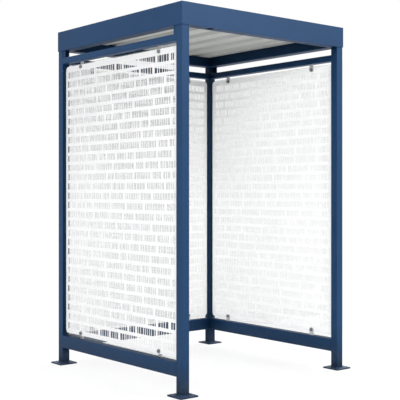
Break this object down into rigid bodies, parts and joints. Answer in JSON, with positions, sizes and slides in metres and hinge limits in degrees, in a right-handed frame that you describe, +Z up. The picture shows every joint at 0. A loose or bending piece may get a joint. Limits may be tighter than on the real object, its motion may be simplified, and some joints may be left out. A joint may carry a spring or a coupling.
{
  "type": "smoking shelter",
  "caption": "Open-front square shelter: tube posts on base plates, glazed walls on three sides between rails, flat ribbed roof behind a deep fascia.",
  "frame": {"origin": "on the ground under the middle of the roof", "axes": "+Z up, -Y out of the open front, +X to the right as seen from the front"},
  "size_m": [1.43, 1.43, 2.25],
  "materials": {
    "frame_paint": "satin powder coat",
    "roof_sheet": "matt coil-coated profiled sheet",
    "glass": "clear toughened",
    "print": "white enamel print baked on the glass",
    "clip_steel": "brushed",
    "fixings": "plain",
    "gasket_rubber": "matt black"
  },
  "bodies": {
    "root": {"base_plate_front_left": "frame_paint", "base_plate_front_right": "frame_paint", "base_plate_back_left": "frame_paint", "base_plate_back_right": "frame_paint", "post_front_left": "frame_paint", "post_front_right": "frame_paint", "post_back_left": "frame_paint", "post_back_right": "frame_paint", "bottom_rail_left": "frame_paint", "bottom_rail_back": "frame_paint", "bottom_rail_right": "frame_paint", "top_rail_left": "frame_paint", "top_rail_back": "frame_paint", "top_rail_right": "frame_paint", "roof_beam_front": "frame_paint", "roof_beam_back": "frame_paint", "roof_beam_left": "frame_paint", "roof_beam_right": "frame_paint", "head_bracket_front_left": "frame_paint", "head_bracket_front_right": "frame_paint", "head_bracket_back_left": "frame_paint", "head_bracket_back_right": "frame_paint", "fascia_front": "frame_paint", "fascia_back": "frame_paint", "fascia_left": "frame_paint", "fascia_right": "frame_paint", "roof_sheet": "roof_sheet", "glass_left": "glass", "glass_back": "glass", "glass_right": "glass", "clip_left_top_front": "clip_steel", "clip_left_top_back": "clip_steel", "clip_left_bottom_front": "clip_steel", "clip_left_bottom_back": "clip_steel", "clip_back_top_left": "clip_steel", "clip_back_top_right": "clip_steel", "clip_back_bottom_left": "clip_steel", "clip_back_bottom_right": "clip_steel", "clip_right_top_front": "clip_steel", "clip_right_top_back": "clip_steel", "clip_right_bottom_front": "clip_steel", "clip_right_bottom_back": "clip_steel", "gaskets_left": "gasket_rubber", "gaskets_back": "gasket_rubber", "gaskets_right": "gasket_rubber"}
  },
  "joints": []
}
